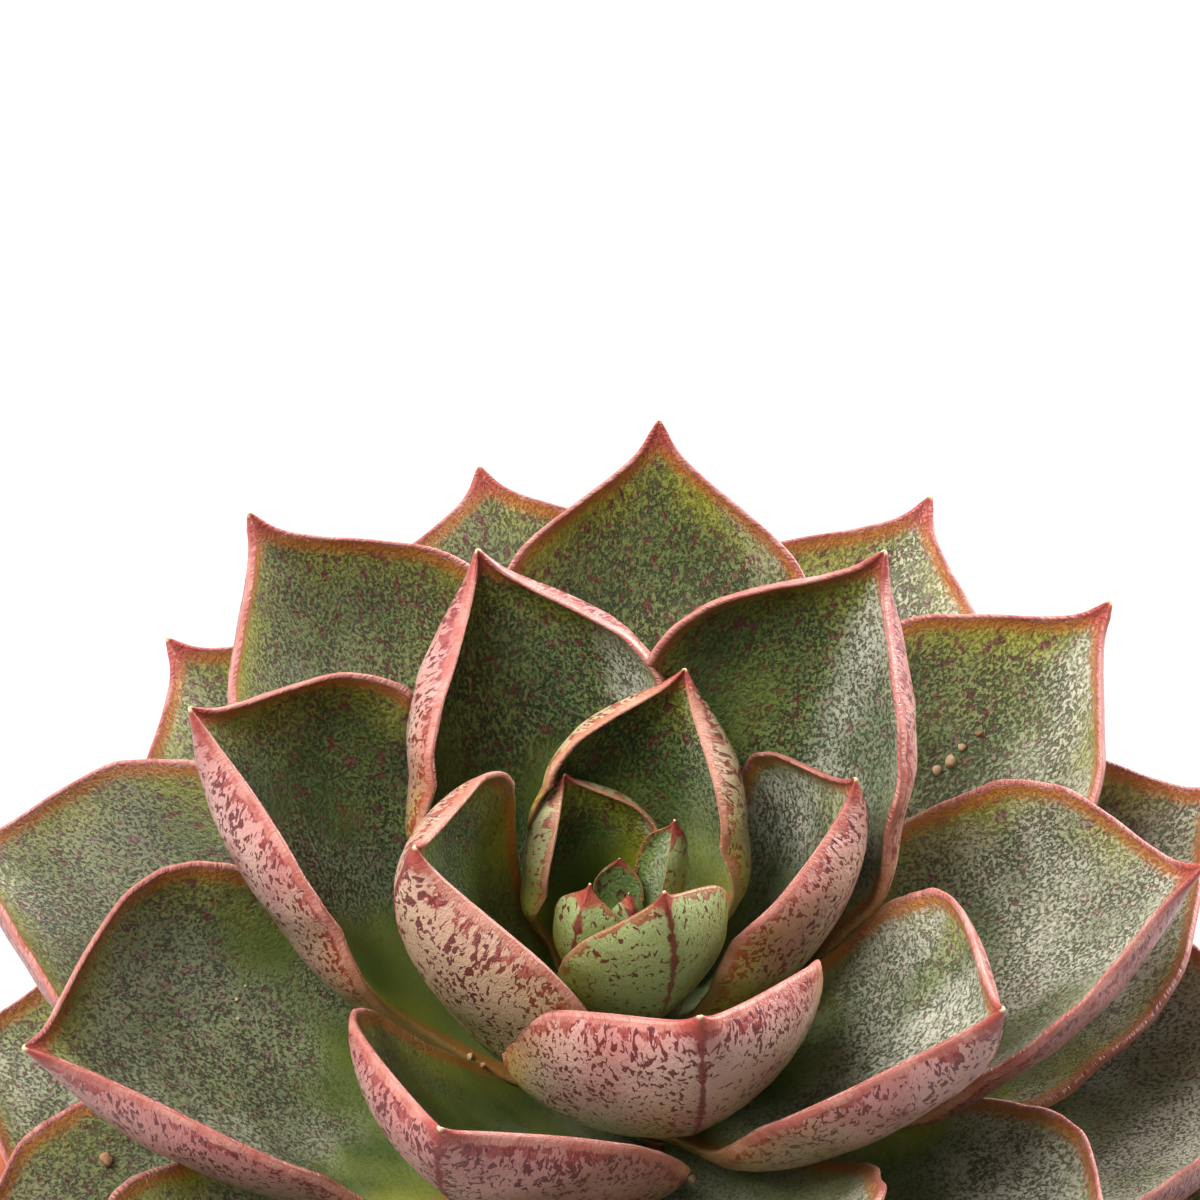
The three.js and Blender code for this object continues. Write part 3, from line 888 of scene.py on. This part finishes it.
def turned_mesh(name, profile, sides):
    """A closed solid of revolution; the profile starts and ends on the axis."""
    turn = np.linspace(0, 2 * np.pi, sides, endpoint=False)
    inner = np.array(profile[1:-1], dtype=float)
    rings = np.stack([
        inner[:, None, 0] * np.cos(turn), inner[:, None, 0] * np.sin(turn),
        np.broadcast_to(inner[:, None, 1], (len(inner), sides)),
    ], axis=-1)
    places = np.vstack([rings.reshape(-1, 3), [[0, 0, profile[0][1]], [0, 0, profile[-1][1]]]])
    first, last = len(inner) * sides, len(inner) * sides + 1
    faces = []
    for i in range(sides):
        k = (i + 1) % sides
        faces.append((first, k, i))
        for j in range(len(inner) - 1):
            faces.append((j * sides + i, j * sides + k, (j + 1) * sides + k, (j + 1) * sides + i))
        faces.append((last - 1 - sides + i, last - 1 - sides + k, last))
    return new_mesh(name, places, faces)


def rounded_profile(corners, radius, steps=5):
    """Corners of a profile replaced by short curves, the ends kept."""
    points = [corners[0]]
    for before, corner, after in zip(corners, corners[1:], corners[2:]):
        before, corner, after = np.array(before, float), np.array(corner, float), np.array(after, float)
        back, ahead = before - corner, after - corner
        reach = min(radius, np.linalg.norm(back) / 2.2, np.linalg.norm(ahead) / 2.2)
        start = corner + back / np.linalg.norm(back) * reach
        end = corner + ahead / np.linalg.norm(ahead) * reach
        for t in np.linspace(0, 1, steps):
            points.append(tuple((1 - t) ** 2 * start + 2 * t * (1 - t) * corner + t**2 * end))
    points.append(corners[-1])
    return points


def pot_inner_radius(height):
    rise = (height - POT_FLOOR) / (POT_HEIGHT - POT_FLOOR)
    return POT_FOOT_R - POT_WALL + rise * (POT_TOP_R - POT_FOOT_R)


def reshape(piece, change):
    """Moves every vertex to where change puts it, places in millimetres."""
    mesh = piece.data
    places = np.empty(len(mesh.vertices) * 3, dtype=np.float32)
    mesh.vertices.foreach_get("co", places)
    places = change(places.reshape(-1, 3) / MM) * MM
    mesh.vertices.foreach_set("co", places.astype(np.float32).ravel())
    mesh.update()


def soil_relief(places):
    """The solids' low waves, with finer lumps, fading at the wall and at the stem."""
    x, y, z = places.T
    radius = np.hypot(x, y)
    outer = pot_inner_radius(SOIL_TOP) - TOUCH
    fade = np.clip((outer - radius) / SOIL_FADE, 0, 1) * np.clip((radius - STEM_HOLE_R) / SOIL_FADE, 0, 1)
    waves = SOIL_RELIEF * np.sin(SOIL_WAVES_X * x) * np.cos(SOIL_WAVES_Y * y)
    lumps = 0.3 * np.sin(1.7 * x + 0.8 * y) * np.sin(1.3 * y - 0.6 * x)
    lumps = lumps + 0.2 * np.sin(2.9 * x) * np.cos(3.3 * y)
    on_top = z > SOIL_TOP - 0.5
    return np.stack([x, y, z + np.where(on_top, fade * (waves + lumps), 0)], axis=1)


def crumb_tree():
    """Scatters lumpy crumbs over a surface that faces up, half sunk into it."""
    g = Growth(
        "Potting mix crumbs", Density="Float", Least_size="Float", Greatest_size="Float", Seed="Int",
        Finish="Material")
    seed = g.given["Seed"]
    normal = g.node("GeometryNodeInputNormal").outputs[0]
    facing = g.compare("GREATER_THAN", g.dot(normal, (0, 0, 1)), 0.4)
    points = g.node("GeometryNodeDistributePointsOnFaces", {
        "Mesh": g.given["Geometry"], "Selection": facing, "Density": g.given["Density"], "Seed": seed},
        distribute_method="RANDOM").outputs[0]
    ball = g.node("GeometryNodeMeshIcoSphere", {"Radius": 1.0, "Subdivisions": 2}).outputs[0]
    turn = g.random_vector((0, 0, 0), (6.3, 6.3, 6.3), seed)
    size = g.node("FunctionNodeRandomValue", {
        2: g.given["Least size"], 3: g.given["Greatest size"], "Seed": seed}, data_type="FLOAT").outputs[1]
    flat = g.random_vector((0.6, 0.5, 0.4), (1.2, 1.0, 0.8), seed)
    crumbs = g.node("GeometryNodeInstanceOnPoints", {
        "Points": points, "Instance": ball, "Rotation": turn, "Scale": g.stretched(flat, size)})
    solid = g.node("GeometryNodeRealizeInstances", {"Geometry": crumbs.outputs[0]}).outputs[0]
    place = g.node("GeometryNodeInputPosition").outputs[0]
    rough = g.node("ShaderNodeTexNoise", {"Vector": place, "Scale": 1100.0, "Detail": 2.0}).outputs["Color"]
    centred = g.node("ShaderNodeVectorMath", {0: rough, 1: (0.5, 0.5, 0.5)}, operation="SUBTRACT")
    lumpy = g.node("GeometryNodeSetPosition", {
        "Geometry": solid, "Offset": g.stretched(centred.outputs[0], CRUMB_LUMPS * MM)})
    return g.finish(lumpy.outputs[0])


class ECHEVERIA_OT_pot(bpy.types.Operator):
    """Builds the tapered clay pot with its collar and three drain holes"""

    bl_idname = "echeveria.pot"
    bl_label = "Clay pot"

    def execute(self, context):
        collar = POT_TOP_R - RIM_TAPER
        corners = [
            (0, 0), (POT_FOOT_R, 0),
            (collar - RIM_STEP, POT_HEIGHT - RIM_HEIGHT), (collar, POT_HEIGHT - RIM_HEIGHT),
            (POT_TOP_R, POT_HEIGHT), (POT_TOP_R - POT_WALL, POT_HEIGHT),
            (pot_inner_radius(POT_FLOOR), POT_FLOOR), (0, POT_FLOOR),
        ]
        profile = rounded_profile(corners, POT_ROUNDING)
        pot = new_object("clay_pot", turned_mesh("clay_pot", profile, POT_SIDES))
        cut = pot.modifiers.new("Drain holes", "BOOLEAN")
        cut.operation = "DIFFERENCE"
        cut.solver = "EXACT"
        cut.object = pins = self.drill()
        bake(pot)
        bpy.data.meshes.remove(pins.data)
        dress(pot, clay_material(context.scene.echeveria_pot), POT_SHARP)
        declare(pot, slot_of("pot"), "pot")
        return {"FINISHED"}

    def drill(self):
        """One object with a round pin for each drain hole."""
        pins = bmesh.new()
        for i in range(DRAIN_COUNT):
            turn = 2 * math.pi * i / DRAIN_COUNT
            pin = bmesh.ops.create_cone(
                pins, cap_ends=True, segments=PIN_SIDES, radius1=DRAIN_R * MM, radius2=DRAIN_R * MM,
                depth=4 * POT_FLOOR * MM)
            move = Vector((math.cos(turn), math.sin(turn), 0)) * DRAIN_CIRCLE_R * MM
            bmesh.ops.translate(pins, vec=move, verts=pin["verts"])
        return new_object("drain_pins", mesh_of("drain_pins", pins))


class ECHEVERIA_OT_soil(bpy.types.Operator):
    """Builds the potting mix, with a lumpy top and loose crumbs on it"""

    bl_idname = "echeveria.soil"
    bl_label = "Potting mix"

    def execute(self, context):
        settings = context.scene.echeveria_soil
        outer = pot_inner_radius(SOIL_TOP) - TOUCH
        bottom = POT_FLOOR + TOUCH
        rings = np.linspace(outer, STEM_HOLE_R, SOIL_RINGS)
        profile = [(0, bottom), (pot_inner_radius(bottom) - TOUCH, bottom)]
        profile += [(radius, SOIL_TOP) for radius in rings]
        profile += [(STEM_HOLE_R, SOIL_TOP - STEM_DEPTH - TOUCH), (0, SOIL_TOP - STEM_DEPTH - TOUCH)]
        soil = new_object("potting_mix", turned_mesh("potting_mix", profile, SOIL_SIDES))
        reshape(soil, soil_relief)
        dress(soil, soil_material(), SOIL_SHARP)
        declare(soil, slot_of("soil"), "soil")

        tree = crumb_tree()
        dark = grain_material("Peat crumbs", colour(30, 22, 16), colour(88, 64, 44))
        pale = grain_material("Pumice grit", colour(150, 134, 112), colour(206, 196, 176))
        for name, material, density, (least, greatest, seed) in (
            ("peat_crumbs", dark, settings.peat_density, PEAT_CRUMBS),
            ("pumice_grit", pale, settings.grit_density, PUMICE_CRUMBS),
        ):
            crumbs = new_object(name, soil.data.copy())
            grow(crumbs, tree, {
                "Density": density, "Least size": least * MM, "Greatest size": greatest * MM, "Seed": seed,
                "Finish": material})
            reshape(crumbs, self.keep_inside)
            crumbs.data.shade_smooth()
            declare(crumbs, slot_of("soil"))
        return {"FINISHED"}

    def keep_inside(self, places):
        """Crumbs at the wall or at the stem are pushed clear of it."""
        x, y, z = places.T
        radius = np.hypot(x, y)
        held = np.clip(radius, STEM_HOLE_R - TOUCH / 2, pot_inner_radius(z) - TOUCH / 2)
        return np.stack([x * held / radius, y * held / radius, z], axis=1)


class ECHEVERIA_OT_sand(bpy.types.Operator):
    """Lays the few grains of sand that have fallen on the leaves"""

    bl_idname = "echeveria.sand"
    bl_label = "Sand on the leaves"

    def execute(self, context):
        context.view_layer.update()
        seed_set(SAND_SEED)
        leaves = [piece for piece in context.scene.objects if piece.name.endswith("_fine")]
        grains = bmesh.new()
        for x, y, z, size in SAND:
            above = Vector((x, y, z + SAND_DROP)) * MM
            hits = [piece.ray_cast(above, (0, 0, -1), distance=2 * SAND_DROP * MM) for piece in leaves]
            surface = max(hit[1].z for hit in hits if hit[0])
            place = Matrix.Translation((above.x, above.y, surface + SAND_LIFT * size * MM))
            grain = bmesh.ops.create_icosphere(grains, subdivisions=2, radius=size / 2 * MM, matrix=place)
            for vertex in grain["verts"]:
                vertex.co += noise_vector(vertex.co / (SAND_LUMP * MM)) * SAND_ROUGHNESS * size * MM
        sand = new_object("sand_grains", mesh_of("sand_grains", grains))
        dress(sand, grain_material("Sand grains", colour(140, 104, 74), colour(192, 162, 124)))
        declare(sand, slot_of("soil"))
        return {"FINISHED"}


class ECHEVERIA_OT_stem(bpy.types.Operator):
    """Builds the short stem with the low rings that fallen leaves leave"""

    bl_idname = "echeveria.stem"
    bl_label = "Stem"

    def execute(self, context):
        foot = SOIL_TOP - STEM_DEPTH
        neck = SEATS[-1][1] + STEM_COVER
        corners = [(0, foot), (neck, foot)]
        for age, seat in reversed(SEATS):
            corners.append((seat + STEM_COVER, APEX_HEIGHT - LEAF_PITCH * age))
        corners.append((0, APEX_HEIGHT))
        heights = np.linspace(foot, corners[-2][1], STEM_RINGS)
        radii = np.interp(heights, [c[1] for c in corners[1:-1]], [c[0] for c in corners[1:-1]])
        radii -= STEM_SCAR * (1 + np.cos(2 * np.pi * (heights - foot) / LEAF_PITCH / 2))
        profile = [corners[0], *zip(radii, heights), corners[-1]]
        stem = new_object("scarred_stem", turned_mesh("scarred_stem", profile, STEM_SIDES))
        dress(stem, stem_material())
        declare(stem, slot_of("stem"), "stem")
        return {"FINISHED"}


class ECHEVERIA_OT_stage(bpy.types.Operator):
    """Sets the floor, the soft studio light and the camera of the photograph"""

    bl_idname = "echeveria.stage"
    bl_label = "Studio"

    def execute(self, context):
        settings = context.scene.echeveria_stage
        self.floor(settings)
        for name, place, power in LIGHTS:
            self.light(name, place, getattr(settings, power))
        world = bpy.data.worlds.new("Even white room")
        world.use_nodes = True
        room = world.node_tree.nodes["Background"].inputs
        room["Color"].default_value = (1, 1, 1, 1)
        room["Strength"].default_value = settings.sky
        context.scene.world = world
        context.scene.view_settings.view_transform = "Standard"
        self.camera(context.scene)
        return {"FINISHED"}

    def floor(self, settings):
        mesh = bpy.data.meshes.new("studio_floor")
        corners = [(-1, -1), (1, -1), (1, 1), (-1, 1)]
        mesh.from_pydata([(x * FLOOR_HALF, y * FLOOR_HALF, 0) for x, y in corners], [], [(0, 1, 2, 3)])
        mesh.materials.append(floor_material(settings.floor_shade, settings.floor_glow))
        new_object("studio_floor", mesh)

    def light(self, name, place, power):
        """A round soft light aimed at the rosette."""
        lamp = bpy.data.lights.new(name, "AREA")
        lamp.shape = "DISK"
        lamp.size = LIGHT_WIDTH
        lamp.energy = power
        holder = bpy.data.objects.new(name, lamp)
        holder.location = place
        aim = Vector((0, 0, APEX_HEIGHT * MM)) - holder.location
        holder.rotation_euler = aim.to_track_quat("-Z", "Y").to_euler()
        bpy.context.scene.collection.objects.link(holder)

    def camera(self, scene):
        """Puts the rosette's apex at its pixel and distance in the photograph."""
        tilt = math.radians(CAMERA_ELEVATION)
        right = Vector((1, 0, 0))
        forward = Vector((0, math.cos(tilt), -math.sin(tilt)))
        up = Vector((0, math.sin(tilt), math.cos(tilt)))
        middle = PHOTO_SIZE / 2
        per_pixel = CAMERA_DISTANCE / FOCAL_PIXELS
        apex = Vector((0, 0, APEX_HEIGHT))
        place = apex - forward * CAMERA_DISTANCE
        place -= right * (APEX_PIXEL[0] - middle) * per_pixel
        place += up * (APEX_PIXEL[1] - middle) * per_pixel
        data = bpy.data.cameras.new("Photo camera")
        data.sensor_width = SENSOR
        data.lens = FOCAL_PIXELS / PHOTO_SIZE * SENSOR
        data.clip_start = 0.01
        holder = bpy.data.objects.new("Photo camera", data)
        holder.location = place * MM
        holder.rotation_euler = (math.pi / 2 - tilt, 0, 0)
        scene.collection.objects.link(holder)
        scene.camera = holder


class ECHEVERIA_PT_panel(bpy.types.Panel):
    bl_idname = "ECHEVERIA_PT_panel"
    bl_label = "Potted echeveria"
    bl_space_type = "VIEW_3D"
    bl_region_type = "UI"
    bl_category = "Echeveria"

    def draw(self, context):
        for name in SETTINGS:
            group = getattr(context.scene, name)
            box = self.layout.box()
            for key in group.__annotations__:
                box.prop(group, key)
        for operator in OPERATORS:
            self.layout.operator(operator.bl_idname)


SETTINGS = {
    "echeveria_leaves": EcheveriaLeafSettings,
    "echeveria_pot": EcheveriaPotSettings,
    "echeveria_soil": EcheveriaSoilSettings,
    "echeveria_stage": EcheveriaStageSettings,
}
OPERATORS = (
    ECHEVERIA_OT_leaves, ECHEVERIA_OT_pot, ECHEVERIA_OT_soil, ECHEVERIA_OT_sand, ECHEVERIA_OT_stem,
    ECHEVERIA_OT_stage,
)
CLASSES = (*SETTINGS.values(), *OPERATORS, ECHEVERIA_PT_panel)


def register():
    for item in CLASSES:
        bpy.utils.register_class(item)
    for name, group in SETTINGS.items():
        setattr(bpy.types.Scene, name, PointerProperty(type=group))


def unregister():
    for name in SETTINGS:
        delattr(bpy.types.Scene, name)
    for item in reversed(CLASSES):
        bpy.utils.unregister_class(item)


def main():
    register()
    bpy.ops.echeveria.leaves()
    bpy.ops.echeveria.pot()
    bpy.ops.echeveria.soil()
    bpy.ops.echeveria.sand()
    bpy.ops.echeveria.stem()
    bpy.ops.echeveria.stage()


if __name__ == "__main__":
    main()
